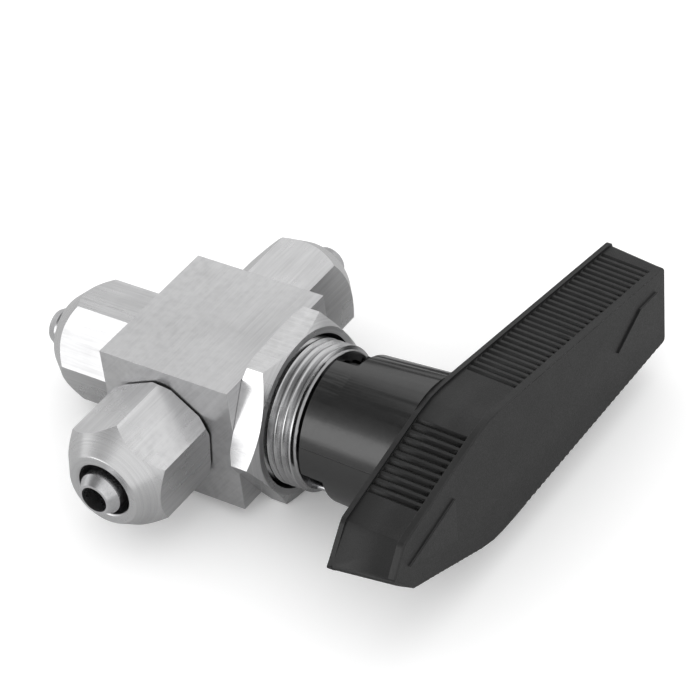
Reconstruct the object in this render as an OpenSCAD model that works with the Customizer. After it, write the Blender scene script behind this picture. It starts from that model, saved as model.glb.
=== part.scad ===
// Three-way ball valve for hose: square block body, three hose unions,
// a threaded panel neck with its nut, and a long lever handle with a stop.
// Millimetres. +X is the stem axis, out of the neck towards the handle.
// +Y points to the back port, +Z is up. The origin is where the stem axis
// crosses the block's panel-side face.

/* [Body] */
// Block width between the two side ports
block_width = 29.4; // [24:0.1:40]
// Block height
block_height = 25.5; // [20:0.1:36]
// Distance from the panel face back to the ball's centre
ball_depth = 14.7; // [10:0.1:20]
// Length of the end port's screw, from its seat to the block's end face
end_screw_len = 4.1; // [3.6:0.1:10]

/* [Neck] */
// Crest radius of the panel thread
neck_r = 13; // [10:0.05:18]
// Neck length beyond the block
neck_len = 10.8; // [6:0.1:20]
// Thread pitch of the neck
neck_pitch = 1.5; // [1:0.1:2]
// Depth of the neck's thread
neck_thread_depth = 0.8; // [0.3:0.05:1.2]
// Radius of the packing chamber inside the neck
gland_bore_r = 7; // [5:0.1:9]

/* [Panel nut] */
// Wall of the panel nut between its thread and its flats
panel_nut_wall = 2; // [1.5:0.1:5]
// Panel nut thickness
panel_nut_len = 5.15; // [3:0.05:8]
// Turn of the panel nut about the stem axis
panel_nut_turn = -2.2; // [-30:0.1:30]

/* [Hose unions] */
// Tube nut size across flats
tube_nut_flats = 19; // [15:0.5:24]
// Tube nut length from the block face to its nose
tube_nut_len = 18; // [14:0.1:24]
// Length from the block face to where the nose cone meets the corners
tube_nut_shoulder = 13; // [8:0.1:18]
// Nose radius of a tube nut
tube_nut_nose_r = 7.05; // [6:0.05:9]
// Hose hole radius in the tube nut
tube_nut_hole_r = 5.1; // [4:0.05:7]
// Hose insert radius
insert_r = 4; // [3:0.05:6]
// Length from the block face to the front insert's tip
insert_len = 20.6; // [17:0.1:26]
// Length from the block face to the tips of the back and end inserts
far_insert_len = 22.1; // [17:0.1:26]
// Flow bore radius of the unions
port_bore_r = 2.5; // [1.5:0.05:3.2]
// Turn of the front nut about its port axis
front_nut_turn = -6.2; // [-30:0.1:30]
// Turn of the back nut about its port axis
back_nut_turn = 15.2; // [-30:0.1:30]
// Turn of the end nut about its port axis
end_nut_turn = -9; // [-30:0.1:30]

/* [Ball and stem] */
// Ball radius
ball_r = 6.5; // [6:0.05:7]
// Radius of the angled flow passage in the ball
ball_bore_r = 2.3; // [1.5:0.05:2.3]
// Stem radius
stem_r = 3.5; // [3:0.05:4]
// Reach of the stem beyond the panel face
stem_reach = 32.6; // [28:0.1:36]
// Half the width across the stem's two drive flats
stem_flat = 2.6; // [2:0.05:3.2]

/* [Handle] */
// Lever angle at rest, from the back port's axis
lever_rest = -4.4; // [-10:0.1:0]
// Hub collar radius
hub_r = 13.55; // [12:0.05:18]
// Hub spigot radius next to the neck
spigot_r = 10.2; // [9:0.1:11]
// Where the hub collar starts
collar_start = 15.9; // [12:0.1:20]
// Where the lever starts, at the end of the collar
lever_start = 30.7; // [24:0.1:36]
// Lever thickness along the stem axis
lever_thick = 11.9; // [8:0.1:16]
// Reach of the long arm from the stem axis
lever_long = 57.7; // [45:0.1:80]
// Reach of the pointed end from the stem axis
lever_nose = 33.1; // [31:0.1:40]
// Distance from the stem axis to where the point begins
nose_shoulder = 27.3; // [24:0.1:30]
// Half the width of the long arm's square end
lever_end_half = 8.6; // [6:0.1:12]
// Half the width of the lever at the hub
lever_belly_half = 13.2; // [12:0.1:16]
// Slope of the grip side from the belly to the nose
nose_rise = 0.3; // [0.25:0.01:0.35]
// Offset of the nose's point below the middle
nose_drop = 0.7; // [0:0.1:1.5]
// Taper of the lever's sides over its thickness
lever_draft = 0.8; // [0.5:0.05:1.5]
// Distance between the grip ridges of the long arm
rib_pitch = 1.59; // [1.3:0.01:2.5]
// Distance between the grip ridges near the nose
nose_rib_pitch = 1.455; // [1.2:0.005:2.3]
// Depth of the grooves between grip ridges
rib_depth = 0.45; // [0.2:0.05:0.8]

/* [Stop] */
// First edge of the stop lug, from the back port's axis
lug_from = -121; // [-150:1:-90]
// Arc of the stop lug
lug_arc = 154; // [120:1:170]
// Radius of the stop pin
stop_pin_r = 0.6; // [0.4:0.05:0.8]
// Angle of the stop pin
stop_pin_angle = -129.5; // [-180:0.5:0]

/* [Fits] */
// Radial gap of the stem in its packing
running_gap = 0.03; // [0.01:0.01:0.1]
// Radial gap of screwed and pushed-in parts
assembly_gap = 0.05; // [0.02:0.01:0.2]
// Gap between a face that turns and one that stays
face_gap = 0.15; // [0.05:0.01:0.3]

/* [Hidden] */
$fn = 96;
seat_r = 4.55;
seat_bore_r = 2.8;
seat_front = 4.6;
seat_back = 7.6;
side_face = block_width / 2;
end_face = seat_back + end_screw_len;
block_len = ball_depth + end_face;
panel_nut_flats = 2 * (neck_r + panel_nut_wall);
chamber_r = ball_r + 0.3;
screw_r = 6.9;
end_screw_r = 8.4;
collar_r = 7.5;
seal_wire_r = 0.7;
seal_mid = -1.6;
fitting_pitch = 1.25;
fitting_groove = 0.5;
flange_r = 4.8;
flange_base = ball_r + 0.2 - ball_depth;
flange_top = flange_base + 1.8;
washer_top = flange_top + 0.8;
shaft_bore_r = stem_r + assembly_gap;
gland_floor = -0.4;
o_ring_at = (washer_top + gland_floor) / 2;
packing_thick = 2;
gland_ring_thick = 1.6;
spring_height = 1.2;
gland_nut_len = 3.6;
gland_nut_base = gland_floor + 2 * packing_thick + gland_ring_thick + spring_height;
gland_nut_top = gland_nut_base + gland_nut_len;
slot_floor = 4.5;
slot_half = 1.3;
tang_half = 1.25;
tang_reach = 4.4;
bush_r = 6;
bush_start = 12.2;
mouth_r = spigot_r + 0.5;
screw_hole_r = 2;
set_screw_r = 1.95;
set_screw_at = 23;
set_screw_angle = -45;
lug_r = 12.2;
lip = 0.4;
lip_height = 0.9;
rib_gap_w = 0.95;
rear_ribs = 29;
rear_rib_start = 9.05;
nose_ribs = 11;
end_corner = 0.7;
arrow_height = 0.5;
nose_rib_start = -6.84;
cut = 0.01;

// Turns a shape built along +Z so that it points along +X
module to_x() rotate([0, 90, 0]) children();

// Places a shape built outward from a port's face, one module per port
module at_back_port() translate([-ball_depth, side_face, 0]) rotate([-90, 0, 0]) children();
module at_front_port() translate([-ball_depth, -side_face, 0]) rotate([90, 0, 0]) children();
module at_end_port() translate([-block_len, 0, 0]) rotate([0, -90, 0]) children();

// A rod along +Z from one height to another
module rod(r, z0, z1) translate([0, 0, z0]) cylinder(r = r, h = z1 - z0);

// Outline of a ridged thread, from height z0, as radius and height pairs
function ridges(r, z0, pitch, deep, count) = [for (i = [0 : count - 1]) each [
    [r, z0 + i * pitch],
    [r - deep, z0 + (i + 0.37) * pitch],
    [r - deep, z0 + (i + 0.47) * pitch],
    [r, z0 + (i + 0.84) * pitch]]];

// Hexagonal bar trimmed by a turned outline
module turned_hex(flats, outline) {
    intersection() {
        rotate_extrude() polygon(outline);
        translate([0, 0, -1])
            cylinder(r = flats / sqrt(3), h = 60, $fn = 6);
    }
}

module neck_outside() {
    ridge_start = 0.95;
    rotate_extrude() polygon(concat(
        [[0, -1], [neck_r - 0.6, -1], [neck_r - 0.6, 0], [neck_r, 0]],
        ridges(neck_r, ridge_start, neck_pitch, neck_thread_depth, 6),
        [[neck_r, neck_len - 0.75], [neck_r - 0.7, neck_len - 0.55],
         [neck_r - 0.75, neck_len - 0.1], [neck_r - 0.85, neck_len], [0, neck_len]]));
}

module side_port_bore() {
    rod(seat_r + assembly_gap, -side_face, -side_face + seat_back);
    rod(screw_r + assembly_gap, -side_face + seat_back - cut, 1);
}

module valve_body() {
    color([0.75, 0.75, 0.76]) difference() {
        union() {
            translate([-block_len, -side_face, -block_height / 2])
                cube([block_len, block_width, block_height]);
            to_x() neck_outside();
        }
        to_x() rod(end_screw_r + assembly_gap, -block_len - 1, -ball_depth - seat_back);
        to_x() rod(chamber_r, -ball_depth - seat_back - cut, chamber_r - ball_depth);
        to_x() rod(flange_r + 0.2, chamber_r - ball_depth - cut, washer_top);
        to_x() rod(shaft_bore_r, washer_top - cut, gland_floor + cut);
        to_x() rod(gland_bore_r, gland_floor, neck_len + 1);
        to_x() rod(mouth_r, gland_nut_top, neck_len + 1);
        at_back_port() side_port_bore();
        at_front_port() side_port_bore();
        rotate([stop_pin_angle, 0, 0])
            translate([0, lug_r - 0.65, 0])
                to_x() rod(stop_pin_r + 0.02, neck_len - 4, neck_len + 1);
    }
}

module panel_nut() {
    start = 0.05;
    end = start + panel_nut_len;
    corner = panel_nut_flats / sqrt(3) + 0.1;
    color([0.8, 0.8, 0.81]) difference() {
        rotate([panel_nut_turn + 30, 0, 0]) to_x()
            turned_hex(panel_nut_flats, [
                [0, start], [panel_nut_flats / 2 + 1.2, start], [corner, start + 0.7],
                [corner, end - (corner - panel_nut_flats / 2) * tan(30)],
                [panel_nut_flats / 2, end], [0, end]]);
        to_x() rod(neck_r + assembly_gap, -1, end + 1);
        to_x() translate([0, 0, end - 0.7])
            cylinder(r1 = neck_r, r2 = neck_r + 0.75, h = 0.72);
    }
}

// Ball with an angled passage from the end port side to the front port side
module ball() {
    color([0.85, 0.85, 0.87]) translate([-ball_depth, 0, 0]) difference() {
        sphere(r = ball_r);
        rotate([lever_rest, 0, 0]) {
            sphere(r = ball_bore_r);
            rotate([90, 0, 0]) rod(ball_bore_r, 0, ball_r + 1);
            rotate([0, -90, 0]) rod(ball_bore_r, 0, ball_r + 1);
            translate([slot_floor, -slot_half, -ball_r])
                cube([ball_r, 2 * slot_half, 2 * ball_r]);
        }
    }
}

module stem() {
    shaft_end = stem_reach;
    color([0.8, 0.8, 0.82]) difference() {
        union() {
            to_x() rotate_extrude() polygon([
                [0, flange_base], [flange_r, flange_base],
                [flange_r, flange_top], [stem_r, flange_top],
                [stem_r, o_ring_at - 0.7], [stem_r - 0.95, o_ring_at - 0.7],
                [stem_r - 0.95, o_ring_at + 0.7], [stem_r, o_ring_at + 0.7],
                [stem_r, shaft_end - 0.5], [stem_r - 0.5, shaft_end], [0, shaft_end]]);
            rotate([lever_rest, 0, 0])
                translate([slot_floor + 0.1 - ball_depth, -tang_half, -tang_reach])
                    cube([ball_r - slot_floor + 0.15, 2 * tang_half, 2 * tang_reach]);
        }
        for (side = [0, 180])
            rotate([set_screw_angle + side, 0, 0])
                translate([collar_start, stem_flat, -5])
                    cube([20, 5, 10]);
    }
}

module stem_o_ring() {
    color([0.1, 0.1, 0.1]) to_x() translate([0, 0, o_ring_at])
        rotate_extrude() translate([stem_r - 0.46, 0]) circle(r = 0.47);
}

module stem_thrust_washer() {
    color([0.93, 0.92, 0.88]) to_x() difference() {
        rod(flange_r, flange_top + 0.02, washer_top);
        rod(stem_r + running_gap, flange_top - 1, washer_top + 1);
    }
}

// Ring round the stem inside the neck
module stem_ring(outer, inner, x0, x1) {
    to_x() difference() {
        rod(outer, x0, x1);
        rod(inner, x0 - 1, x1 + 1);
    }
}

module lower_packing_ring() {
    color([0.93, 0.92, 0.88])
        stem_ring(gland_bore_r - assembly_gap, stem_r + running_gap,
            gland_floor, gland_floor + packing_thick);
}

module upper_packing_ring() {
    color([0.93, 0.92, 0.88])
        stem_ring(gland_bore_r - assembly_gap, stem_r + running_gap,
            gland_floor + packing_thick, gland_floor + 2 * packing_thick);
}

module gland_ring() {
    base = gland_floor + 2 * packing_thick;
    color([0.7, 0.7, 0.72])
        stem_ring(gland_bore_r - 2 * assembly_gap, stem_r + 0.08, base, base + gland_ring_thick);
}

// Two disc springs stacked rim to rim between the gland ring and its nut
module disc_springs() {
    base = gland_floor + 2 * packing_thick + gland_ring_thick;
    inner = stem_r + 0.4;
    outer = gland_bore_r - 0.4;
    thick = 0.35;
    rise = spring_height / 2 - thick;
    color([0.6, 0.6, 0.62]) to_x() {
        rotate_extrude() polygon([[inner, base], [outer, base + rise],
            [outer, base + rise + thick], [inner, base + thick]]);
        rotate_extrude() polygon([[inner, base + spring_height - thick],
            [outer, base + spring_height / 2], [outer, base + spring_height / 2 + thick],
            [inner, base + spring_height]]);
    }
}

module gland_nut() {
    base = gland_nut_base;
    top = gland_nut_top;
    color([0.72, 0.72, 0.74]) difference() {
        to_x() rotate_extrude() polygon(concat(
            [[stem_r + 0.2, base], [gland_bore_r - assembly_gap - 0.4, base]],
            ridges(gland_bore_r - assembly_gap, base + 0.4, 1, 0.4, 3),
            [[gland_bore_r - assembly_gap, top], [stem_r + 0.2, top]]));
        for (turn = [20, 110])
            rotate([turn, 0, 0])
                translate([top - 1.2, -1, -gland_bore_r - 1])
                    cube([3, 2, 2 * gland_bore_r + 2]);
    }
}

// Seat ring, built along +Z from the ball's centre, hollowed to the ball's curve
module seat() {
    difference() {
        rod(seat_r, seat_front, seat_back);
        rod(seat_bore_r, 0, seat_back + 1);
        sphere(r = ball_r + running_gap);
    }
}

module front_seat() {
    color([0.93, 0.92, 0.88]) translate([-ball_depth, 0, 0]) rotate([90, 0, 0]) seat();
}

module back_seat() {
    color([0.93, 0.92, 0.88]) translate([-ball_depth, 0, 0]) rotate([-90, 0, 0]) seat();
}

module end_seat() {
    color([0.93, 0.92, 0.88]) translate([-ball_depth, 0, 0]) rotate([0, -90, 0]) seat();
}

// Outward half of a union: nut thread, cone seat and hose insert, as an outline
function union_nose(r, z0, tip) = concat(
    [[r, z0]], ridges(r, z0 + 1.2, fitting_pitch, fitting_groove, 6),
    [[r, 9.8], [insert_r, 12.7], [insert_r, tip - 1.8], [3, tip], [port_bore_r, tip]]);

module side_fitting(tip) {
    base = seat_back - side_face;
    rotate_extrude() polygon(concat(
        [[port_bore_r, base], [screw_r - 0.5, base]],
        ridges(screw_r, base + 0.5, fitting_pitch, fitting_groove, 3),
        [[screw_r, seal_mid - 0.8], [screw_r - 1.4, seal_mid - 0.8],
         [screw_r - 1.4, seal_mid + 0.8], [screw_r, seal_mid + 0.8], [screw_r, 0.1]],
        union_nose(collar_r, 0.1, tip)));
}

module end_fitting() {
    base = 5.2 - end_face;
    step = seat_back - end_face;
    rotate_extrude() polygon(concat(
        [[port_bore_r, step], [seat_r + assembly_gap, step], [seat_r + assembly_gap, base],
         [chamber_r - assembly_gap, base], [chamber_r - assembly_gap, step + 0.05],
         [end_screw_r - 0.4, step + 0.05]],
        ridges(end_screw_r, step + 0.4, 1, 0.4, 1),
        [[end_screw_r, seal_mid - 0.8], [end_screw_r - 1.4, seal_mid - 0.8],
         [end_screw_r - 1.4, seal_mid + 0.8], [end_screw_r, seal_mid + 0.8],
         [end_screw_r, -0.05], [collar_r, -0.05]],
        union_nose(collar_r, 0.1, far_insert_len)));
}

module front_port_fitting() {
    color([0.72, 0.72, 0.74]) at_front_port() side_fitting(insert_len);
}

module back_port_fitting() {
    color([0.72, 0.72, 0.74]) at_back_port() side_fitting(far_insert_len);
}

module end_port_fitting() {
    color([0.72, 0.72, 0.74]) at_end_port() end_fitting();
}

module port_seal(r) {
    translate([0, 0, seal_mid])
        rotate_extrude() translate([r - seal_wire_r + 0.02, 0]) circle(r = seal_wire_r);
}

module front_port_seal() {
    color([0.1, 0.1, 0.1]) at_front_port() port_seal(screw_r);
}

module back_port_seal() {
    color([0.1, 0.1, 0.1]) at_back_port() port_seal(screw_r);
}

module end_port_seal() {
    color([0.1, 0.1, 0.1]) at_end_port() port_seal(end_screw_r);
}

module tube_nut() {
    corner = tube_nut_flats / sqrt(3);
    back = 0.3;
    difference() {
        turned_hex(tube_nut_flats, [
            [0, back], [corner - 0.95, back], [corner, back + 1],
            [corner, tube_nut_shoulder], [tube_nut_nose_r, tube_nut_len - 0.2],
            [tube_nut_nose_r - 0.2, tube_nut_len], [0, tube_nut_len]]);
        rotate_extrude() polygon([
            [0, -1], [collar_r + assembly_gap, -1], [collar_r + assembly_gap, 10.1],
            [tube_nut_hole_r, 13], [tube_nut_hole_r, tube_nut_len - 0.25],
            [tube_nut_hole_r + 0.5, tube_nut_len + 0.25], [0, tube_nut_len + 0.25]]);
    }
}

module front_tube_nut() {
    color([0.8, 0.8, 0.81]) at_front_port() rotate([0, 0, 30 + front_nut_turn]) tube_nut();
}

module back_tube_nut() {
    color([0.8, 0.8, 0.81]) at_back_port() rotate([0, 0, 30 - back_nut_turn]) tube_nut();
}

module end_tube_nut() {
    color([0.8, 0.8, 0.81]) at_end_port() rotate([0, 0, 30 - end_nut_turn]) tube_nut();
}

module stop_pin() {
    color([0.7, 0.7, 0.72]) rotate([stop_pin_angle, 0, 0])
        translate([0, lug_r - 0.65, 0]) to_x() rod(stop_pin_r, neck_len - 3.8, neck_len + 2.4);
}

// Collar and spigot of the handle, with the stop lug round part of the spigot
module handle_hub() {
    start = gland_nut_top + face_gap;
    lug_start = neck_len + face_gap + 0.25;
    color([0.1, 0.1, 0.1]) difference() {
        union() {
            to_x() rotate_extrude() polygon([
                [0, start], [spigot_r - 0.2, start], [spigot_r, start + 0.2],
                [spigot_r, collar_start], [hub_r - 1, collar_start],
                [hub_r - 0.3, collar_start + 0.3], [hub_r, collar_start + 1],
                [hub_r, lever_start], [0, lever_start]]);
            rotate([lug_from, 0, 0]) rotate([90, 0, 90])
                rotate_extrude(angle = lug_arc) polygon([
                    [spigot_r - 0.5, lug_start], [lug_r, lug_start],
                    [lug_r, collar_start + 0.5], [spigot_r - 0.5, collar_start + 0.5]]);
        }
        to_x() rod(bush_r + 0.02, start - 1, lever_start + 1);
        rotate([set_screw_angle, 0, 0]) translate([set_screw_at, 0, 0])
            rotate([-90, 0, 0]) rod(screw_hole_r, 0, hub_r + 2);
    }
}

// Metal sleeve in the hub that takes the stem's two flats
module handle_bush() {
    color([0.7, 0.65, 0.5]) difference() {
        to_x() rod(bush_r, bush_start, stem_reach);
        intersection() {
            to_x() rod(stem_r + running_gap, bush_start - 1, stem_reach + 1);
            rotate([set_screw_angle, 0, 0])
                translate([collar_start - 0.05, -stem_flat - 0.02, -5])
                    cube([30, 2 * stem_flat + 0.04, 10]);
        }
        to_x() rod(stem_r + running_gap, bush_start - 1, collar_start);
        rotate([set_screw_angle, 0, 0]) translate([set_screw_at, 0, 0])
            rotate([-90, 0, 0]) rod(screw_hole_r, 0, bush_r + 2);
    }
}

module handle_set_screw() {
    color([0.3, 0.3, 0.32])
        rotate([set_screw_angle, 0, 0]) translate([set_screw_at, 0, 0]) rotate([-90, 0, 0])
            difference() {
                rod(set_screw_r, stem_flat + 0.05, hub_r - 2);
                translate([0, 0, hub_r - 4])
                    cylinder(r = 1.15, h = 3, $fn = 6);
            }
}

// Lever outline: long square-ended arm, full belly at the hub, pointed nose.
// Its width grows by one amount and its ends by another; up is 1 or -1.
function lever_side(grow, reach, up) =
    let (far = lever_long + 1.4 * reach, half = lever_end_half + grow,
         belly = lever_belly_half + grow, nose = lever_nose + 2 * reach,
         shoulder = nose_shoulder + 0.4 * reach + up * nose_drop,
         tip = belly - 1.05 - nose_rise * (shoulder - 6))
    [[far, half - end_corner], [far - 0.3 * end_corner, half - 0.3 * end_corner],
     [far - end_corner, half],
     [5, belly - 0.4], [1, belly - 0.15], [-2, belly - 0.25], [-6, belly - 1.05],
     [-shoulder, tip], [-shoulder - 0.7, tip - 0.7],
     [-nose + 0.5, 0.7 - up * nose_drop], [-nose, 0.2 - up * nose_drop]];

function lever_outline(grow, reach) =
    let (upper = lever_side(grow, reach, 1), lower = lever_side(grow, reach, -1))
    concat(upper, [for (i = [len(lower) - 1 : -1 : 0]) [lower[i][0], -lower[i][1]]]);

// Slope and half widths of the lever's inner face along the arm and the nose
arm_fall = (lever_belly_half - 0.4 - lever_end_half) / (lever_long - end_corner - 5);
function arm_half(y) = lever_belly_half - 0.4 - arm_fall * (y - 5);
function nose_half(y) = lever_belly_half - 1.05 + nose_rise * (y + 6);

module lever_slab(grow, reach, x0, thick) {
    translate([x0, 0, 0]) rotate([90, 0, 90])
        linear_extrude(height = thick) polygon(lever_outline(grow, reach));
}

// Groove between two grip ridges, cut into the upper side
module grip_groove(y, half, slope) {
    fall = atan(lever_draft / lever_thick);
    translate([lever_start + lip_height, y, half - 0.08])
        rotate([slope, 0, 0]) rotate([0, fall, 0]) rotate([90, 0, 90])
            linear_extrude(height = lever_thick + 1)
                polygon([[-rib_gap_w / 2 - 0.3, 0.3], [-rib_gap_w / 2, 0], [-0.05, -rib_depth],
                    [0.05, -rib_depth], [rib_gap_w / 2, 0], [rib_gap_w / 2 + 0.3, 0.3]]);
}

module grip_grooves() {
    for (i = [0 : rear_ribs - 1])
        let (y = rear_rib_start + i * rib_pitch)
            grip_groove(y, arm_half(y), -atan(arm_fall));
    for (i = [0 : nose_ribs - 1])
        let (y = nose_rib_start - i * nose_rib_pitch)
            grip_groove(y, nose_half(y), atan(nose_rise));
}

// Moulded pockets in the arm's inner face, either side of a middle web
module lever_pockets() {
    cell = 7.6;
    web = 1.5;
    floor_at = lever_start + lever_thick - 2.2;
    for (i = [0 : 4]) {
        y0 = 16 + i * cell;
        y1 = y0 + cell - web;
        translate([lever_start - 1, 0, 0]) rotate([90, 0, 90])
            linear_extrude(height = floor_at - lever_start + 1)
                polygon([[y0, web / 2], [y1, web / 2],
                    [y1, arm_half(y1) - lever_draft - 2.1],
                    [y0, arm_half(y0) - lever_draft - 2.1]]);
    }
}

// Pointer standing on the outer face
module outer_arrow(points) {
    translate([lever_start + lever_thick - 0.1, 0, 0]) rotate([90, 0, 90])
        linear_extrude(height = arrow_height + 0.1) polygon(points);
}

module handle_lever() {
    far_arrow_end = 53.5;
    far_arrow_neck = 47.6;
    far_arrow_tip = 39.6;
    arrow_half = 4.45;
    nose_arrow_end = -13.4;
    nose_arrow_tip = -27.3;
    color([0.12, 0.12, 0.12]) rotate([lever_rest, 0, 0]) difference() {
        union() {
            hull() {
                lever_slab(0, 0, lever_start + 0.02, 0.1);
                lever_slab(-lever_draft, -lever_draft, lever_start + lever_thick - 0.1, 0.1);
            }
            lever_slab(lip, 0, lever_start, lip_height);
            outer_arrow([[far_arrow_end, arrow_half], [far_arrow_neck, arrow_half],
                [far_arrow_tip, 0], [far_arrow_neck, -arrow_half],
                [far_arrow_end, -arrow_half]]);
            outer_arrow([[nose_arrow_end, arrow_half - 0.25], [nose_arrow_tip, 0],
                [nose_arrow_end, 0.25 - arrow_half]]);
        }
        grip_grooves();
        mirror([0, 0, 1]) grip_grooves();
        lever_pockets();
        mirror([0, 0, 1]) lever_pockets();
        to_x() rod(bush_r + 0.02, lever_start - 1, stem_reach + 0.1);
    }
}

valve_body();
panel_nut();
ball();
stem();
stem_o_ring();
stem_thrust_washer();
lower_packing_ring();
upper_packing_ring();
gland_ring();
disc_springs();
gland_nut();
front_seat();
back_seat();
end_seat();
front_port_fitting();
back_port_fitting();
end_port_fitting();
front_port_seal();
back_port_seal();
end_port_seal();
front_tube_nut();
back_tube_nut();
end_tube_nut();
stop_pin();
handle_hub();
handle_bush();
handle_set_screw();
handle_lever();
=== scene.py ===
import math

import bpy
from mathutils import Matrix, Vector


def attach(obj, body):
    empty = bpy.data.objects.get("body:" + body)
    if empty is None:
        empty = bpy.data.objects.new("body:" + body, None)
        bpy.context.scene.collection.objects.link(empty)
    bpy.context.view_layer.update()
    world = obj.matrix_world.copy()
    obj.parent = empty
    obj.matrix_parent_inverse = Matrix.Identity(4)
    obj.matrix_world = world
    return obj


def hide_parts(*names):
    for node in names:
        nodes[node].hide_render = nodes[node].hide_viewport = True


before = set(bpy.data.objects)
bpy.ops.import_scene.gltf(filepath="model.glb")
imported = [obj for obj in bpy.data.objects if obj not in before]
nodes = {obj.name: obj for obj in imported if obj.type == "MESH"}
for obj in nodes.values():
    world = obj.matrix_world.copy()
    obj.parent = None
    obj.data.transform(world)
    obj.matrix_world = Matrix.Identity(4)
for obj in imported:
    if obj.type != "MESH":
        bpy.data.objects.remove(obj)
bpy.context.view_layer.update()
bpy.ops.object.select_all(action="DESELECT")
scene = bpy.context.scene

# Sizes are in millimetres, and mm turns them into the frame's metres
mm = 0.001
weld_reach = 0.002 * mm

# Block and ports
ball_depth = 14.7
side_face = 14.7
end_face_x = -26.4
front_place = (-ball_depth, -side_face, 0.0)
back_place = (-ball_depth, side_face, 0.0)
end_place = (end_face_x, 0.0, 0.0)
toward_x = (1.0, 0.0, 0.0)
toward_y = (0.0, 1.0, 0.0)

# Hose nuts, and how far each is turned about its own axis
nut_flats = 19.0
nut_len = 18.0
nut_shoulder = 13.0
nut_nose_r = 7.05
nut_hole_r = 5.1
nut_bore_r = 7.55
nut_bore_end = 10.1
nut_hole_start = 13.0
front_nut_turn = -6.2
back_nut_turn = -15.2
end_nut_turn = 9.0

# Neck and panel nut
neck_r = 13.0
neck_len = 10.8
thread_root_r = 12.18
thread_root_shade_end_r = 12.36
panel_flats = 30.0
panel_len = 5.15
panel_gap = 0.05
panel_nut_turn = 2.2

# Lever, and the outline of its outer face as pairs along and across it
lever_face = 30.7
lever_rest = -4.4
lever_thick = 11.9
lever_draft = 0.8
rim_deep = 1.5
rim_spare = 0.1
rim_above = 0.012
face_sunk = 0.12
outer_face_outline = [
    (56.59, 7.1), (56.38, 7.6), (55.89, 7.81), (5.0, 12.01), (1.0, 12.26), (-2.0, 12.16),
    (-6.0, 11.36), (-27.68, 4.856), (-28.38, 4.156), (-31.51, -0.5), (-31.51, -0.9),
    (-26.98, -4.576), (-26.28, -5.276), (-6.0, -11.36), (-2.0, -12.16), (1.0, -12.26),
    (5.0, -12.01), (55.89, -7.81), (56.38, -7.6), (56.59, -7.1)]

# Hub, with its skirt and its stop lug. The angles run from +Y toward +Z
hub_bore = 6.02
spigot_r = 10.2
spigot_start = 10.15
collar_start = 15.9
lever_face_r = 13.85
hub_slope = 0.0545
skirt_start = 11.7
skirt_from = 86.0
skirt_arc = 102.0
stop_lug_r = 12.2
stop_lug_start = neck_len + 0.4
lug_from = -121.0
lug_arc = 154.0
wall_root = 0.4
seam_angle = 162.5
seam_r = 0.1
screw_way_r = 2.0
screw_way_at = 23.0
screw_way_angle = -135.0

# Camera of the photograph: where it stands, and its right, down and forward directions
camera_place = (0.28023, -0.34231, 0.36139)
view_right = Vector((0.8338113, 0.54244796, -0.10251308))
view_down = Vector((0.27490398, -0.56902519, -0.77500847))
view_ahead = Vector((-0.47873429, 0.61802957, -0.62358073))


def make_camera():
    data = bpy.data.cameras.new("photo_camera")
    camera = bpy.data.objects.new("photo_camera", data)
    scene.collection.objects.link(camera)
    data.sensor_width = 36
    data.lens = 171.93
    data.shift_x = 0.00237
    data.shift_y = 0.00548
    data.clip_start = 0.01
    data.clip_end = 20
    turn = Matrix((view_right, -view_down, -view_ahead)).transposed().to_4x4()
    camera.matrix_world = Matrix.Translation(camera_place) @ turn
    scene.camera = camera
    scene.view_settings.view_transform = "Standard"


make_camera()

# Shared effects, each a node group used by several materials


def new_group(name, sockets_in, sockets_out):
    group = bpy.data.node_groups.new(name, "ShaderNodeTree")
    for label, kind, value in sockets_in:
        socket = group.interface.new_socket(label, in_out="INPUT", socket_type=kind)
        if value is not None:
            socket.default_value = value
    for label, kind in sockets_out:
        group.interface.new_socket(label, in_out="OUTPUT", socket_type=kind)
    start = group.nodes.new("NodeGroupInput")
    end = group.nodes.new("NodeGroupOutput")
    return group, start, end


def fill_sockets(tree, node, inputs):
    # An output is linked to its socket and any other value is set on it
    for key, value in inputs.items():
        if hasattr(value, "is_output"):
            tree.links.new(value, node.inputs[key])
        else:
            node.inputs[key].default_value = value


def add(tree, kind, inputs=None, **settings):
    node = tree.nodes.new(kind)
    for key, value in settings.items():
        setattr(node, key, value)
    fill_sockets(tree, node, inputs or {})
    return node


def math_node(tree, operation, a, b=0.0, clamp=False):
    return add(tree, "ShaderNodeMath", {0: a, 1: b}, operation=operation,
               use_clamp=clamp).outputs[0]


def spread(tree, value, low, high, to_low, to_high):
    node = add(tree, "ShaderNodeMapRange",
               {"Value": value, "From Min": low, "From Max": high,
                "To Min": to_low, "To Max": to_high})
    return node.outputs[0]


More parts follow.
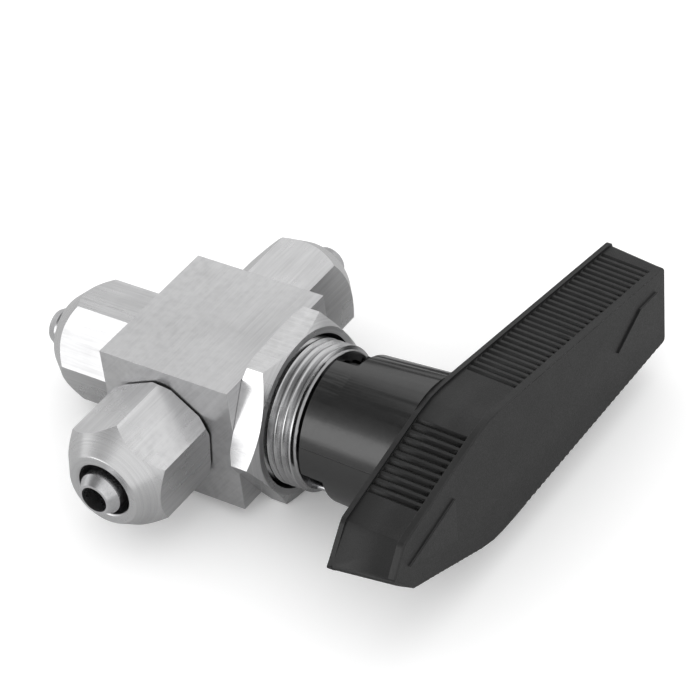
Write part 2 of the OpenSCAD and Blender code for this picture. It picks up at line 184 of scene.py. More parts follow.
def make_brushed_grain():
    # Fine lines left by a belt, running along the axis with the small stretch
    group, start, end = new_group(
        "brushed_grain",
        [("Coordinates", "NodeSocketVector", None),
         ("Stretch", "NodeSocketVector", (1.0, 0.04, 1.0)),
         ("Fineness", "NodeSocketFloat", 3000.0)],
        [("Lines", "NodeSocketFloat"), ("Cloud", "NodeSocketFloat")])
    place = add(group, "ShaderNodeVectorMath",
                {0: start.outputs["Coordinates"], 1: start.outputs["Stretch"]},
                operation="MULTIPLY").outputs[0]
    fine = add(group, "ShaderNodeTexNoise",
               {"Vector": place, "Scale": start.outputs["Fineness"],
                "Detail": 3.0, "Roughness": 0.6}).outputs["Fac"]
    coarse_scale = math_node(group, "MULTIPLY", start.outputs["Fineness"], 0.28)
    coarse = add(group, "ShaderNodeTexNoise",
                 {"Vector": place, "Scale": coarse_scale,
                  "Detail": 2.0, "Roughness": 0.5}).outputs["Fac"]
    lines = add(group, "ShaderNodeMix",
                {"Factor": 0.35, "A": fine, "B": coarse}, data_type="FLOAT").outputs["Result"]
    cloud = add(group, "ShaderNodeTexNoise",
                {"Vector": start.outputs["Coordinates"], "Scale": 120.0,
                 "Detail": 3.0, "Roughness": 0.5}).outputs["Fac"]
    group.links.new(lines, end.inputs["Lines"])
    group.links.new(cloud, end.inputs["Cloud"])
    return group


def make_scratches():
    # Sparse straight scratches along one axis, 1 on a scratch and 0 elsewhere
    group, start, end = new_group(
        "handling_scratches",
        [("Coordinates", "NodeSocketVector", None),
         ("Stretch", "NodeSocketVector", (1.0, 0.06, 1.0)),
         ("Amount", "NodeSocketFloat", 0.3)],
        [("Scratch", "NodeSocketFloat")])
    place = add(group, "ShaderNodeVectorMath",
                {0: start.outputs["Coordinates"], 1: start.outputs["Stretch"]},
                operation="MULTIPLY").outputs[0]
    noise = add(group, "ShaderNodeTexNoise",
                {"Vector": place, "Scale": 1400.0, "Detail": 1.0}).outputs["Fac"]
    patch = add(group, "ShaderNodeTexNoise",
                {"Vector": start.outputs["Coordinates"], "Scale": 260.0,
                 "Detail": 2.0}).outputs["Fac"]
    thin = spread(group, noise, 0.60, 0.70, 0.0, 1.0)
    where = spread(group, patch, 0.45, 0.62, 0.0, 1.0)
    both = math_node(group, "MULTIPLY", thin, where)
    result = math_node(group, "MULTIPLY", both, start.outputs["Amount"])
    group.links.new(result, end.inputs["Scratch"])
    return group


def make_edge_wear():
    # Bright where the metal is rubbed along its corners
    group, start, end = new_group(
        "rubbed_edges",
        [("Coordinates", "NodeSocketVector", None),
         ("Amount", "NodeSocketFloat", 0.5)],
        [("Edge", "NodeSocketFloat")])
    shape = add(group, "ShaderNodeNewGeometry").outputs["Pointiness"]
    sharp = spread(group, shape, 0.52, 0.58, 0.0, 1.0)
    broken = add(group, "ShaderNodeTexNoise",
                 {"Vector": start.outputs["Coordinates"], "Scale": 700.0,
                  "Detail": 2.0}).outputs["Fac"]
    uneven = spread(group, broken, 0.35, 0.6, 0.35, 1.0)
    edge = math_node(group, "MULTIPLY", sharp, uneven)
    result = math_node(group, "MULTIPLY", edge, start.outputs["Amount"])
    group.links.new(result, end.inputs["Edge"])
    return group


def make_moulded_grain():
    # Fine leather-like pits of a textured mould
    group, start, end = new_group(
        "moulded_grain",
        [("Coordinates", "NodeSocketVector", None),
         ("Fineness", "NodeSocketFloat", 4500.0)],
        [("Grain", "NodeSocketFloat"), ("Cloud", "NodeSocketFloat")])
    fine = add(group, "ShaderNodeTexNoise",
               {"Vector": start.outputs["Coordinates"],
                "Scale": start.outputs["Fineness"], "Detail": 2.0}).outputs["Fac"]
    cloud = add(group, "ShaderNodeTexNoise",
                {"Vector": start.outputs["Coordinates"], "Scale": 180.0,
                 "Detail": 3.0}).outputs["Fac"]
    group.links.new(fine, end.inputs["Grain"])
    group.links.new(cloud, end.inputs["Cloud"])
    return group


def make_lathe_rings():
    # Fine rings left by the lathe round one axis
    group, start, end = new_group(
        "lathe_rings",
        [("Coordinates", "NodeSocketVector", None),
         ("Centre", "NodeSocketVector", (0.0, 0.0, 0.0)),
         ("Axis", "NodeSocketVector", (1.0, 0.0, 0.0)),
         ("Fineness", "NodeSocketFloat", 3000.0)],
        [("Rings", "NodeSocketFloat"), ("Cloud", "NodeSocketFloat"),
         ("Radius", "NodeSocketFloat")])
    offset = add(group, "ShaderNodeVectorMath",
                 {0: start.outputs["Coordinates"], 1: start.outputs["Centre"]},
                 operation="SUBTRACT").outputs[0]
    along = add(group, "ShaderNodeVectorMath",
                {0: offset, 1: start.outputs["Axis"]}, operation="DOT_PRODUCT").outputs["Value"]
    foot = add(group, "ShaderNodeVectorMath",
               {0: start.outputs["Axis"], "Scale": along}, operation="SCALE").outputs[0]
    out = add(group, "ShaderNodeVectorMath", {0: offset, 1: foot},
              operation="SUBTRACT").outputs[0]
    radius = add(group, "ShaderNodeVectorMath", {0: out}, operation="LENGTH").outputs["Value"]
    ring = add(group, "ShaderNodeCombineXYZ", {"X": radius, "Y": along}).outputs[0]
    drift = add(group, "ShaderNodeVectorMath", {0: offset, "Scale": 0.03},
                operation="SCALE").outputs[0]
    place = add(group, "ShaderNodeVectorMath", {0: ring, 1: drift}, operation="ADD").outputs[0]
    fine = add(group, "ShaderNodeTexNoise",
               {"Vector": place, "Scale": start.outputs["Fineness"],
                "Detail": 3.0, "Roughness": 0.6}).outputs["Fac"]
    cloud = add(group, "ShaderNodeTexNoise",
                {"Vector": start.outputs["Coordinates"], "Scale": 150.0,
                 "Detail": 3.0}).outputs["Fac"]
    group.links.new(fine, end.inputs["Rings"])
    group.links.new(radius, end.inputs["Radius"])
    group.links.new(cloud, end.inputs["Cloud"])
    return group


brushed_grain = make_brushed_grain()
lathe_rings = make_lathe_rings()
handling_scratches = make_scratches()
rubbed_edges = make_edge_wear()
moulded_grain = make_moulded_grain()

# Depth of the relief, the colour of the painted shade and the dirt in the thread, and how the
# grain of each finish is stretched
metal_relief = 0.04 * mm
mould_relief = 0.03 * mm
# Painted shade for the thread's roots, also used for its random dirt patches
thread_shade_and_dirt = (0.07, 0.07, 0.072, 1.0)
along_x = (0.04, 1.0, 1.0)
along_y = (1.0, 0.04, 1.0)
evenly = (1.0, 1.0, 1.0)


def start_material(name):
    material = bpy.data.materials.new(name)
    material.use_nodes = True
    tree = material.node_tree
    shader = tree.nodes["Principled BSDF"]
    coordinates = add(tree, "ShaderNodeTexCoord").outputs["Object"]
    return material, tree, shader, coordinates


def use_group(tree, group, inputs):
    node = tree.nodes.new("ShaderNodeGroup")
    node.node_tree = group
    fill_sockets(tree, node, inputs)
    return node


def blend_colors(tree, factor, a, b):
    return add(tree, "ShaderNodeMix", {"Factor": factor, "A": a, "B": b},
               data_type="RGBA").outputs["Result"]


def give_relief(tree, shader, height, bump, depth):
    relief = add(tree, "ShaderNodeBump",
                 {"Height": height, "Strength": bump, "Distance": depth})
    tree.links.new(relief.outputs["Normal"], shader.inputs["Normal"])


def metal_material(name, dark, light, stretch, fineness, roughness,
                   bump, scratch=0.3, edge=0.5, lean=0.0):
    # Steel or brass with lines along the axis that the stretch shortens
    material, tree, shader, place = start_material(name)
    if lean:
        place = add(tree, "ShaderNodeVectorRotate",
                    {"Vector": place, "Angle": math.radians(lean)},
                    rotation_type="Y_AXIS").outputs[0]
    grain = use_group(tree, brushed_grain,
                      {"Coordinates": place, "Stretch": stretch, "Fineness": fineness})
    marks = use_group(tree, handling_scratches,
                      {"Coordinates": place, "Stretch": stretch, "Amount": scratch})
    wear = use_group(tree, rubbed_edges, {"Coordinates": place, "Amount": edge})
    line_mix = spread(tree, grain.outputs["Lines"], 0.3, 0.7, 0.0, 1.0)
    base = blend_colors(tree, line_mix, (*dark, 1.0), (*light, 1.0))
    bright = tuple(min(1.0, 1.12 * c) for c in light)
    worn = blend_colors(tree, wear.outputs["Edge"], base, (*bright, 1.0))
    tree.links.new(worn, shader.inputs["Base Color"])
    rough = spread(tree, grain.outputs["Cloud"], 0.3, 0.7, *roughness)
    rougher = math_node(tree, "ADD", rough,
                        math_node(tree, "MULTIPLY", marks.outputs["Scratch"], 0.15))
    tree.links.new(rougher, shader.inputs["Roughness"])
    shader.inputs["Metallic"].default_value = 1.0
    shader.inputs["Anisotropic"].default_value = 0.3
    height = math_node(tree, "SUBTRACT", grain.outputs["Lines"], marks.outputs["Scratch"])
    give_relief(tree, shader, height, bump, metal_relief)
    return material


def plastic_material(name, dark, light, fineness, roughness, bump, reflect=0.5):
    # Moulded black plastic, paler where its edges are rubbed
    material, tree, shader, place = start_material(name)
    grain = use_group(tree, moulded_grain, {"Coordinates": place, "Fineness": fineness})
    wear = use_group(tree, rubbed_edges, {"Coordinates": place, "Amount": 0.4})
    tone = spread(tree, grain.outputs["Cloud"], 0.3, 0.7, 0.0, 1.0)
    base = blend_colors(tree, tone, (*dark, 1.0), (*light, 1.0))
    pale = tuple(1.9 * c for c in light)
    worn = blend_colors(tree, wear.outputs["Edge"], base, (*pale, 1.0))
    tree.links.new(worn, shader.inputs["Base Color"])
    rough = spread(tree, grain.outputs["Grain"], 0.3, 0.7, *roughness)
    tree.links.new(rough, shader.inputs["Roughness"])
    shader.inputs["Specular IOR Level"].default_value = reflect
    give_relief(tree, shader, grain.outputs["Grain"], bump, mould_relief)
    return material


def soft_material(name, color, fineness, rough, bump):
    # PTFE or rubber, with a faint cloudiness
    material, tree, shader, place = start_material(name)
    grain = use_group(tree, moulded_grain, {"Coordinates": place, "Fineness": fineness})
    tone = spread(tree, grain.outputs["Cloud"], 0.3, 0.7, 0.0, 1.0)
    darker = tuple(0.85 * c for c in color)
    base = blend_colors(tree, tone, (*darker, 1.0), (*color, 1.0))
    tree.links.new(base, shader.inputs["Base Color"])
    shader.inputs["Roughness"].default_value = rough
    give_relief(tree, shader, grain.outputs["Grain"], bump, mould_relief)
    return material


def ring_material(name, dark, light, centre, axis, fineness, roughness, bump, roots=None):
    # Turned steel. Where it has a thread, its roots are darkened with painted shade, and random
    # dirt patches lie over roots and crests alike
    material, tree, shader, place = start_material(name)
    rings = use_group(tree, lathe_rings,
                      {"Coordinates": place, "Centre": centre, "Axis": axis,
                       "Fineness": fineness})
    marks = use_group(tree, handling_scratches,
                      {"Coordinates": place, "Stretch": evenly, "Amount": 0.15})
    line_mix = spread(tree, rings.outputs["Rings"], 0.3, 0.7, 0.0, 1.0)
    base = blend_colors(tree, line_mix, (*dark, 1.0), (*light, 1.0))
    if roots:
        # Painted shade darkens the thread's roots by radius, and random patches of dirt are
        # added over it
        root_shade = spread(tree, rings.outputs["Radius"], roots[0], roots[1], 0.7, 0.0)
        patches = spread(tree, rings.outputs["Cloud"], 0.52, 0.66, 0.0, 0.5)
        shade_and_dirt = math_node(tree, "MAXIMUM", root_shade, patches)
        base = blend_colors(tree, shade_and_dirt, base, thread_shade_and_dirt)
    tree.links.new(base, shader.inputs["Base Color"])
    rough = spread(tree, rings.outputs["Cloud"], 0.3, 0.7, *roughness)
    tree.links.new(rough, shader.inputs["Roughness"])
    shader.inputs["Metallic"].default_value = 1.0
    height = math_node(tree, "SUBTRACT", rings.outputs["Rings"], marks.outputs["Scratch"])
    give_relief(tree, shader, height, bump, metal_relief)
    return material


def steel(tone):
    # Plain steel is a trace bluer than grey
    return (tone, tone, round(tone + 0.005, 3))


def grey(tone):
    return (tone, tone, tone)


# The brushed and milled steels
block_brushed = metal_material(
    "block_brushed_steel", steel(0.50), steel(0.64), along_y, 3200.0,
    roughness=(0.30, 0.38), bump=0.35, edge=0.6)
block_front_brushed = metal_material(
    "block_front_brushed", steel(0.48), steel(0.62), along_x, 2600.0,
    roughness=(0.30, 0.38), bump=0.4, scratch=0.5, edge=0.6, lean=49.0)
panel_nut_milled = metal_material(
    "panel_nut_milled", steel(0.57), steel(0.70), along_x, 2600.0,
    roughness=(0.20, 0.28), bump=0.4)
side_nut_milled = metal_material(
    "side_nut_milled", steel(0.52), steel(0.68), along_y, 2400.0,
    roughness=(0.24, 0.34), bump=0.4, scratch=0.6)
end_nut_milled = metal_material(
    "end_nut_milled", steel(0.52), steel(0.68), along_x, 2400.0,
    roughness=(0.24, 0.34), bump=0.4, scratch=0.6)
# Near-black metal that paints shade into the panel nut's countersink, where the deep gap round
# the thread is unlit
countersink_painted_shade = metal_material(
    "countersink_painted_shade", grey(0.02), grey(0.035), evenly, 2000.0,
    roughness=(0.5, 0.6), bump=0.1, edge=0.0)

# The turned steels, each with the middle and the axis of its rings
valve_middle = (0.0, 0.0, 0.0)
port_middle = (-ball_depth * mm, 0.0, 0.0)
side_cone_turned = ring_material(
    "side_cone_turned", steel(0.56), steel(0.66), port_middle, toward_y, 2600.0,
    roughness=(0.22, 0.30), bump=0.3)
end_cone_turned = ring_material(
    "end_cone_turned", steel(0.56), steel(0.66), valve_middle, toward_x, 2600.0,
    roughness=(0.22, 0.30), bump=0.3)
panel_face_turned = ring_material(
    "panel_face_turned", steel(0.50), steel(0.64), valve_middle, toward_x, 2600.0,
    roughness=(0.24, 0.34), bump=0.4)
# The neck's thread roots get painted shade up to the given radius
neck_turned = ring_material(
    "neck_turned", steel(0.46), steel(0.64), valve_middle, toward_x, 3000.0,
    roughness=(0.20, 0.32), bump=0.6, roots=(thread_root_r * mm, thread_root_shade_end_r * mm))

# The inner pieces' metals
turned_steel = metal_material(
    "turned_steel", (0.48, 0.48, 0.49), (0.62, 0.62, 0.63), evenly, 2500.0,
    roughness=(0.22, 0.32), bump=0.2)
polished_ball = metal_material(
    "polished_ball", (0.70, 0.70, 0.71), (0.78, 0.78, 0.79), evenly, 3000.0,
    roughness=(0.06, 0.10), bump=0.05, scratch=0.1)
spring_steel = metal_material(
    "spring_steel", (0.22, 0.22, 0.24), (0.30, 0.30, 0.32), evenly, 2500.0,
    roughness=(0.30, 0.40), bump=0.2)
bush_brass = metal_material(
    "bush_brass", (0.55, 0.40, 0.16), (0.66, 0.50, 0.22), along_x, 2500.0,
    roughness=(0.28, 0.38), bump=0.3)
screw_blackened = metal_material(
    "screw_blackened", (0.03, 0.03, 0.032), (0.06, 0.06, 0.065), evenly, 2500.0,
    roughness=(0.35, 0.45), bump=0.2)

# Plastics and seals
hub_gloss = plastic_material(
    "hub_gloss_black", grey(0.004), grey(0.007), 2200.0,
    roughness=(0.18, 0.26), bump=0.06, reflect=0.8)
lever_matte = plastic_material(
    "lever_matte_black", grey(0.005), grey(0.010), 5200.0,
    roughness=(0.38, 0.55), bump=0.9)
seal_white = soft_material("seal_white", (0.85, 0.84, 0.80), 1800.0, rough=0.42, bump=0.1)
seal_black = soft_material("seal_black", grey(0.02), 2500.0, rough=0.5, bump=0.2)

finish_of = {
    "valve_body": block_brushed,
    "panel_nut": panel_nut_milled,
    "front_tube_nut": side_nut_milled,
    "back_tube_nut": side_nut_milled,
    "end_tube_nut": end_nut_milled,
    "front_port_fitting": turned_steel,
    "back_port_fitting": turned_steel,
    "end_port_fitting": turned_steel,
    "gland_nut": turned_steel,
    "gland_ring": turned_steel,
    "stem": turned_steel,
    "stop_pin": turned_steel,
    "disc_springs": spring_steel,
    "ball": polished_ball,
    "front_seat": seal_white,
    "back_seat": seal_white,
    "end_seat": seal_white,
    "lower_packing_ring": seal_white,
    "upper_packing_ring": seal_white,
    "stem_thrust_washer": seal_white,
    "stem_o_ring": seal_black,
    "front_port_seal": seal_black,
    "back_port_seal": seal_black,
    "end_port_seal": seal_black,
    "handle_hub": hub_gloss,
    "handle_lever": lever_matte,
    "handle_bush": bush_brass,
    "handle_set_screw": screw_blackened,
}


def give_finish(piece, material):
    piece.data.materials.clear()
    piece.data.materials.append(material)


for node_name, material in finish_of.items():
    for material_slot in nodes[node_name].material_slots:
        material_slot.material = material


# Ways of working, each on the piece that is picked


def edit_all():
    bpy.ops.object.mode_set(mode="EDIT")
    bpy.ops.mesh.select_all(action="SELECT")


def end_edit():
    bpy.ops.object.mode_set(mode="OBJECT")


def close_body():
    # Welds the last ring to the first and turns every face outward
    bpy.ops.mesh.select_all(action="SELECT")
    bpy.ops.mesh.remove_doubles(threshold=weld_reach)
    bpy.ops.mesh.normals_make_consistent(inside=False)
    end_edit()


def merge_faces(reach):
    # Makes whole flat faces of the triangles
    edit_all()
    bpy.ops.mesh.remove_doubles(threshold=reach)
    bpy.ops.mesh.dissolve_limited(angle_limit=math.radians(0.3))
    end_edit()


def pick(piece):
    bpy.ops.object.select_all(action="DESELECT")
    piece.select_set(True)
    bpy.context.view_layer.objects.active = piece


def turned_body(name, outline, segments=96):
    # A ring swept up through the outline's radius and height pairs and back to its start
    radius, height = outline[0]
    bpy.ops.object.select_all(action="DESELECT")
    bpy.ops.mesh.primitive_circle_add(vertices=segments, radius=radius * mm,
                                      location=(0.0, 0.0, height * mm))
    piece = bpy.context.active_object
    piece.name = name
    bpy.ops.object.transform_apply(location=True)
    edit_all()
    for next_radius, next_height in outline[1:] + outline[:1]:
        lift = (next_height - height) * mm
        grow = next_radius / radius
        bpy.ops.mesh.extrude_region_move(TRANSFORM_OT_translate={"value": (0.0, 0.0, lift)})
        bpy.ops.transform.resize(value=(grow, grow, 1.0),
                                 center_override=(0.0, 0.0, next_height * mm))
        radius = next_radius
        height = next_height
    close_body()
    return piece


def solid_rod(name, radius, start, end, sides=96):
    bpy.ops.object.select_all(action="DESELECT")
    bpy.ops.mesh.primitive_cylinder_add(vertices=sides, radius=radius * mm,
                                        depth=(end - start) * mm,
                                        location=(0.0, 0.0, (start + end) / 2 * mm))
    rod = bpy.context.active_object
    rod.name = name
    bpy.ops.object.transform_apply(location=True)
    return rod


def combine(piece, tool, operation):
    # Joins the tool to the piece or cuts the piece with it, and uses the tool up
    pick(piece)
    join = piece.modifiers.new(operation.lower(), "BOOLEAN")
    join.operation = operation
    join.object = tool
    join.solver = "EXACT"
    bpy.ops.object.modifier_apply(modifier=join.name)
    bpy.data.objects.remove(tool)


def put(piece, place, tilt, spin=0.0):
    # Turns a piece built along +Z about its own axis, then tilts and moves it to its port
    pick(piece)
    move = Matrix.Translation(Vector(place) * mm)
    lean = Matrix.Rotation(math.radians(tilt[1]), 4, tilt[0])
    own = Matrix.Rotation(math.radians(spin), 4, "Z")
    piece.matrix_world = move @ lean @ own
    bpy.ops.object.transform_apply(location=True, rotation=True, scale=True)


def ease(piece, width, corner=25.0, segments=2, smooth=35.0):
    # Rounds every sharp edge a little and keeps the flats flat
    pick(piece)
    rounding = piece.modifiers.new("eased_edges", "BEVEL")
    rounding.width = width * mm
    rounding.segments = segments
    rounding.limit_method = "ANGLE"
    rounding.angle_limit = math.radians(corner)
    rounding.use_clamp_overlap = True
    bpy.ops.object.modifier_apply(modifier=rounding.name)
    flatten_faces(piece, smooth)


def flatten_faces(piece, smooth=35.0):
    # Smooth shading that leaves the large faces flat
    pick(piece)
    bpy.ops.object.shade_smooth_by_angle(angle=math.radians(smooth))
    weigh = piece.modifiers.new("flat_faces", "WEIGHTED_NORMAL")
    weigh.keep_sharp = True
    bpy.ops.object.modifier_apply(modifier=weigh.name)


def merged_copy(node_name, piece_name):
    # A CAD node's copy with its loose triangles merged into whole faces
    piece = bpy.data.objects.new(piece_name, nodes[node_name].data.copy())
    scene.collection.objects.link(piece)
    pick(piece)
    merge_faces(weld_reach)
    return piece


def stand_for(node_name, piece, body):
    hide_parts(node_name)
    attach(piece, body)


def two_finishes(piece, flat_finish, turned_finish, toward):
    # The faces whose normals lean along the axis are turned, the rest are milled flats
    piece.data.materials.clear()
    piece.data.materials.append(flat_finish)
    piece.data.materials.append(turned_finish)
    axis = Vector(toward)
    for face in piece.data.polygons:
        lean = abs(face.normal.dot(axis))
        face.material_index = 1 if lean > 0.35 else 0


def hose_nut(name):
    # A hexagon with a turned cone, a thread bore behind and a hose hole in front
    corner = nut_flats / math.sqrt(3.0)
    nut = turned_body(name, [
        (nut_bore_r, 0.3), (corner - 0.95, 0.3), (corner + 0.05, 1.3),
        (corner + 0.05, nut_shoulder),
        (nut_nose_r, nut_len - 0.2), (nut_nose_r - 0.2, nut_len), (nut_hole_r + 0.25, nut_len),
        (nut_hole_r, nut_len - 0.25), (nut_hole_r, nut_hole_start), (nut_bore_r, nut_bore_end)])
    hexagon = solid_rod("hexagon_bar", corner, -1.0, nut_len + 2.0, sides=6)
    combine(nut, hexagon, "INTERSECT")
    return nut


def copy_of(piece, name):
    twin = bpy.data.objects.new(name, piece.data.copy())
    scene.collection.objects.link(twin)
    return twin


def hose_nuts():
    # The nut is modelled once and copied before each is put on its port
    front_nut = hose_nut("front_hose_nut")
    ease(front_nut, 0.14)
    back_nut = copy_of(front_nut, "back_hose_nut")
    end_nut = copy_of(front_nut, "end_hose_nut")
    put(front_nut, front_place, ("X", 90.0), front_nut_turn)
    put(back_nut, back_place, ("X", -90.0), back_nut_turn)
    put(end_nut, end_place, ("Y", -90.0), end_nut_turn)
    two_finishes(front_nut, side_nut_milled, side_cone_turned, toward_y)
    two_finishes(back_nut, side_nut_milled, side_cone_turned, toward_y)
    two_finishes(end_nut, end_nut_milled, end_cone_turned, toward_x)
    stand_for("front_tube_nut", front_nut, "valve")
    stand_for("back_tube_nut", back_nut, "valve")
    stand_for("end_tube_nut", end_nut, "valve")


def panel_hex_nut():
    # The chamfered hexagon on the neck, whose face is countersunk round the thread. The
    # countersink is painted near-black as shade
    start = panel_gap
    end = start + panel_len
    half = panel_flats / 2
    corner = panel_flats / math.sqrt(3.0) + 0.1
    nut = turned_body("panel_hex_nut", [
        (neck_r + 0.05, start), (half + 1.2, start), (corner, start + 0.7),
        (corner, end - (corner - half) * math.tan(math.radians(30.0))), (half, end),
        (neck_r + 0.8, end), (neck_r + 0.55, end - 1.1), (neck_r + 0.05, end - 1.6)])
    hexagon = solid_rod("hexagon_bar", panel_flats / math.sqrt(3.0), -1.0, end + 2.0, sides=6)
    combine(nut, hexagon, "INTERSECT")
    ease(nut, 0.12)
    put(nut, (0.0, 0.0, 0.0), ("Y", 90.0), panel_nut_turn)
    two_finishes(nut, panel_nut_milled, panel_face_turned, toward_x)
    # Painted shade: the countersink's faces get a near-black metal for the unlit gap round the
    # thread
    nut.data.materials.append(countersink_painted_shade)
    countersink_r = neck_r + 0.85
    for face in nut.data.polygons:
        away = math.hypot(face.center.y, face.center.z)
        if away < countersink_r * mm and face.center.x < (end - 0.05) * mm:
            face.material_index = 2
    stand_for("panel_nut", nut, "valve")


def block_and_neck():
    # The neck is turned, the front and back faces are brushed on the slant, the rest along +Y
    piece = merged_copy("valve_body", "block_and_neck")
    ease(piece, 0.16, corner=50.0)
    piece.data.materials.clear()
    for material in (block_brushed, neck_turned, block_front_brushed):
        piece.data.materials.append(material)
    for face in piece.data.polygons:
        if face.center.x > 0.1 * mm:
            face.material_index = 1
        elif abs(face.normal.y) > 0.7:
            face.material_index = 2
    stand_for("valve_body", piece, "valve")


def sink_outer_face(piece):
    # The ribs' outer ends draw back a little, so the rim covers them
    pick(piece)
    for vertex in piece.data.vertices:
        vertex.select = vertex.co.x > (lever_face + lever_thick + 0.3) * mm
    for part in list(piece.data.edges) + list(piece.data.polygons):
        part.select = all(piece.data.vertices[index].select for index in part.vertices)
    bpy.ops.object.mode_set(mode="EDIT")
    bpy.ops.mesh.select_mode(type="VERT")
    bpy.ops.transform.translate(value=(-face_sunk * mm, 0.0, 0.0))
    end_edit()


def lever_rim():
    # The plain border of the outer face, cut from a slab along the lever's outline
    outer = lever_face + lever_thick + rim_above
    bpy.ops.object.select_all(action="DESELECT")
    bpy.ops.mesh.primitive_cube_add(size=1.0, location=((outer - rim_deep / 2) * mm, 0.012, 0.0))
    rim = bpy.context.active_object
    rim.name = "lever_rim"
    rim.scale = (rim_deep * mm, 0.092, 0.03)
    bpy.ops.object.transform_apply(location=True, rotation=True, scale=True)
    edit_all()
    for here, there in zip(outer_face_outline, outer_face_outline[1:] + outer_face_outline[:1]):
        across = (there[0] - here[0], there[1] - here[1])
        length = math.hypot(*across)
        outward = (lever_draft / lever_thick, across[1] / length, -across[0] / length)
        past = (here[0] + rim_spare * outward[1], here[1] + rim_spare * outward[2])
        bpy.ops.mesh.select_all(action="SELECT")
        bpy.ops.mesh.bisect(plane_co=(outer * mm, past[0] * mm, past[1] * mm),
                            plane_no=outward, use_fill=True, clear_outer=True)
    end_edit()
    put(rim, (0.0, 0.0, 0.0), ("X", lever_rest))
    return rim


def lever_grip():
    # The moulded lever, with its outer face bordered by the rim
    piece = merged_copy("handle_lever", "lever_grip")
    sink_outer_face(piece)
    ease(piece, 0.16, corner=30.0)
    rim = lever_rim()
    ease(rim, 0.3, corner=30.0, segments=3)
    combine(piece, rim, "UNION")
    merge_faces(2 * weld_reach)
    flatten_faces(piece)
    give_finish(piece, lever_matte)
    stand_for("handle_lever", piece, "handle")


def hub_radius(along):
    # The hub tapers from the lever down to its skirt's edge
    return lever_face_r - (lever_face - along) * hub_slope


def swept_wall(name, inner, outer, near, far, arc):
    # A wall round part of the hub, swept from one end's outline
    bpy.ops.object.select_all(action="DESELECT")
    middle = ((inner + outer) / 2 * mm, 0.0, (near + far) / 2 * mm)
    bpy.ops.mesh.primitive_plane_add(size=1.0, location=middle,
                                     rotation=(math.radians(90.0), 0.0, 0.0))
    wall = bpy.context.active_object
    wall.name = name
    wall.scale = ((outer - inner) * mm, (far - near) * mm, 1.0)
    bpy.ops.object.transform_apply(location=True, rotation=True, scale=True)
    edit_all()
    bpy.ops.mesh.spin(steps=48, angle=-math.radians(arc), center=(0.0, 0.0, 0.0),
                      axis=(0.0, 0.0, 1.0))
    close_body()
    return wall


def cut_mould_seam(hub):
    # A fine groove where the two halves of the mould met, lying along the taper
    middle = (skirt_start + lever_face) / 2
    length = lever_face - skirt_start + 3.0
    seam = solid_rod("mould_seam", seam_r, -length / 2, length / 2, sides=12)
    pick(seam)
    lay = Matrix.Rotation(math.radians(90.0), 4, "Y")
    lean = Matrix.Rotation(math.atan(hub_slope), 4, "Z")
    out = Matrix.Translation((middle * mm, hub_radius(middle) * mm, 0.0))
    around = Matrix.Rotation(math.radians(seam_angle), 4, "X")
    seam.matrix_world = around @ out @ lean @ lay
    bpy.ops.object.transform_apply(location=True, rotation=True, scale=True)
    combine(hub, seam, "DIFFERENCE")


def hub_skirt():
    # Swept too thick, and then cut to the hub's taper
    skirt = swept_wall("hub_skirt", stop_lug_r + 0.12, hub_radius(collar_start) + 1.0,
                       skirt_start, collar_start + wall_root, skirt_arc)
    taper = turned_body("skirt_taper", [
        (9.0, skirt_start - 1.0), (hub_radius(skirt_start - 1.0), skirt_start - 1.0),
        (hub_radius(collar_start + 1.0), collar_start + 1.0), (9.0, collar_start + 1.0)],
        segments=144)
    combine(skirt, taper, "INTERSECT")
    return skirt


def lever_hub():
    # The glossy sleeve on the stem, with the lug that meets the stop pin
    hub = turned_body("lever_hub", [
        (hub_bore, spigot_start), (spigot_r - 0.2, spigot_start), (spigot_r, spigot_start + 0.2),
        (spigot_r, collar_start), (hub_radius(collar_start) - 0.2, collar_start),
        (hub_radius(collar_start + 0.2), collar_start + 0.2), (lever_face_r, lever_face),
        (hub_bore, lever_face)], segments=144)
    skirt = hub_skirt()
    lug = swept_wall("stop_lug", spigot_r - 0.3, stop_lug_r, stop_lug_start,
                     collar_start + wall_root, lug_arc)
    put(hub, (0.0, 0.0, 0.0), ("Y", 90.0))
    put(skirt, (0.0, 0.0, 0.0), ("Y", 90.0), skirt_from + 90.0)
    put(lug, (0.0, 0.0, 0.0), ("Y", 90.0), lug_from + 90.0)
    combine(hub, skirt, "UNION")
    combine(hub, lug, "UNION")
    screw_way = solid_rod("screw_way", screw_way_r, 0.0, 16.0, sides=48)
    put(screw_way, (screw_way_at, 0.0, 0.0), ("X", screw_way_angle))
    combine(hub, screw_way, "DIFFERENCE")
    cut_mould_seam(hub)
    ease(hub, 0.15, corner=40.0)
    give_finish(hub, hub_gloss)
    stand_for("handle_hub", hub, "handle")


hose_nuts()
panel_hex_nut()
block_and_neck()
lever_grip()
lever_hub()

# Floor, world and light

floor_slope = 0.0966
floor_z = -15.35
indirect_level = 1.15


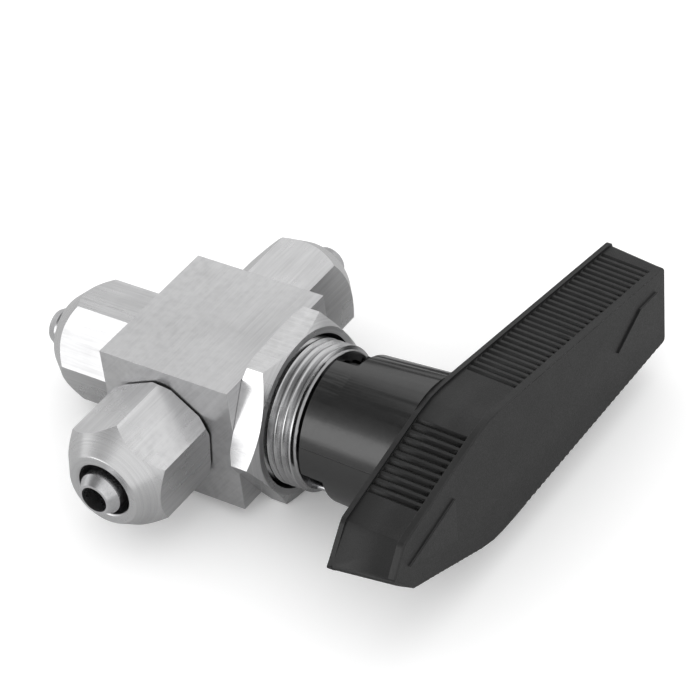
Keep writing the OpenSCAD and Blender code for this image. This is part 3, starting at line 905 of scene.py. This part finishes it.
def make_floor():
    # The valve rests on its panel nut and on the block's lower far edge. The camera sees the
    # floor pale, and it throws less light back at the valve
    bpy.ops.mesh.primitive_plane_add(size=6.0, location=(0.0, 0.0, floor_z * mm),
                                     rotation=(0.0, math.atan(floor_slope), 0.0))
    floor = bpy.context.active_object
    floor.name = "studio_floor"
    material, tree, shader, _ = start_material("pale_floor")
    shader.inputs["Roughness"].default_value = 1.0
    shader.inputs["Specular IOR Level"].default_value = 0.0
    rays = add(tree, "ShaderNodeLightPath")
    direct = math_node(tree, "ADD", rays.outputs["Is Camera Ray"],
                       rays.outputs["Is Transmission Ray"], clamp=True)
    mirrored = math_node(tree, "MULTIPLY", rays.outputs["Is Glossy Ray"], 0.25)
    seen = math_node(tree, "ADD", direct, mirrored, clamp=True)
    tone = spread(tree, seen, 0.0, 1.0, 0.36, 0.97)
    tree.links.new(tone, shader.inputs["Base Color"])
    lift = math_node(tree, "MULTIPLY", seen, 0.13)
    shader.inputs["Emission Color"].default_value = (1.0, 1.0, 1.0, 1.0)
    tree.links.new(lift, shader.inputs["Emission Strength"])
    give_finish(floor, material)


def mirrored_shade(tree, heading, direction, start, end, darkest):
    # 1 away from the direction, falling to the darkest value toward it
    toward = add(tree, "ShaderNodeVectorMath", {0: heading, 1: direction},
                 operation="DOT_PRODUCT").outputs["Value"]
    return spread(tree, toward, start, end, 1.0, darkest)


def make_world():
    # White for the camera, and shaded only in what the metal and the plastic mirror
    world = bpy.data.worlds.new("studio_world")
    scene.world = world
    world.use_nodes = True
    tree = world.node_tree
    background = tree.nodes["Background"]
    background.inputs["Color"].default_value = (1.0, 1.0, 1.0, 1.0)
    rays = add(tree, "ShaderNodeLightPath")
    seen = math_node(tree, "ADD", rays.outputs["Is Camera Ray"],
                     rays.outputs["Is Transmission Ray"], clamp=True)
    plain = spread(tree, seen, 0.0, 1.0, indirect_level, 1.0)
    # White walls, a dark ceiling and a dark stretch behind the valve
    heading = add(tree, "ShaderNodeTexCoord").outputs["Generated"]
    ceiling = mirrored_shade(tree, heading, (-0.45, -0.1, 0.89), 0.74, 0.96, 0.22)
    behind = mirrored_shade(tree, heading, (-0.45, 0.89, 0.0), 0.91, 0.97, 0.12)
    walls = math_node(tree, "MULTIPLY", ceiling, behind)
    strength = add(tree, "ShaderNodeMix",
                   {"Factor": rays.outputs["Is Glossy Ray"], "A": plain, "B": walls},
                   data_type="FLOAT").outputs["Result"]
    tree.links.new(strength, background.inputs["Strength"])


def make_softbox(name, place, size, radiance):
    # A square lamp that faces the valve, with its brightness given as a mirror would show it
    data = bpy.data.lights.new(name, "AREA")
    data.shape = "SQUARE"
    data.size = size
    data.energy = radiance * math.pi * size * size
    light = bpy.data.objects.new(name, data)
    scene.collection.objects.link(light)
    light.location = place
    aim = -Vector(place)
    light.rotation_euler = aim.to_track_quat("-Z", "Y").to_euler()


make_floor()
make_world()
make_softbox("front_softbox", (-0.385, -0.68, 0.18), size=0.5, radiance=1.3)
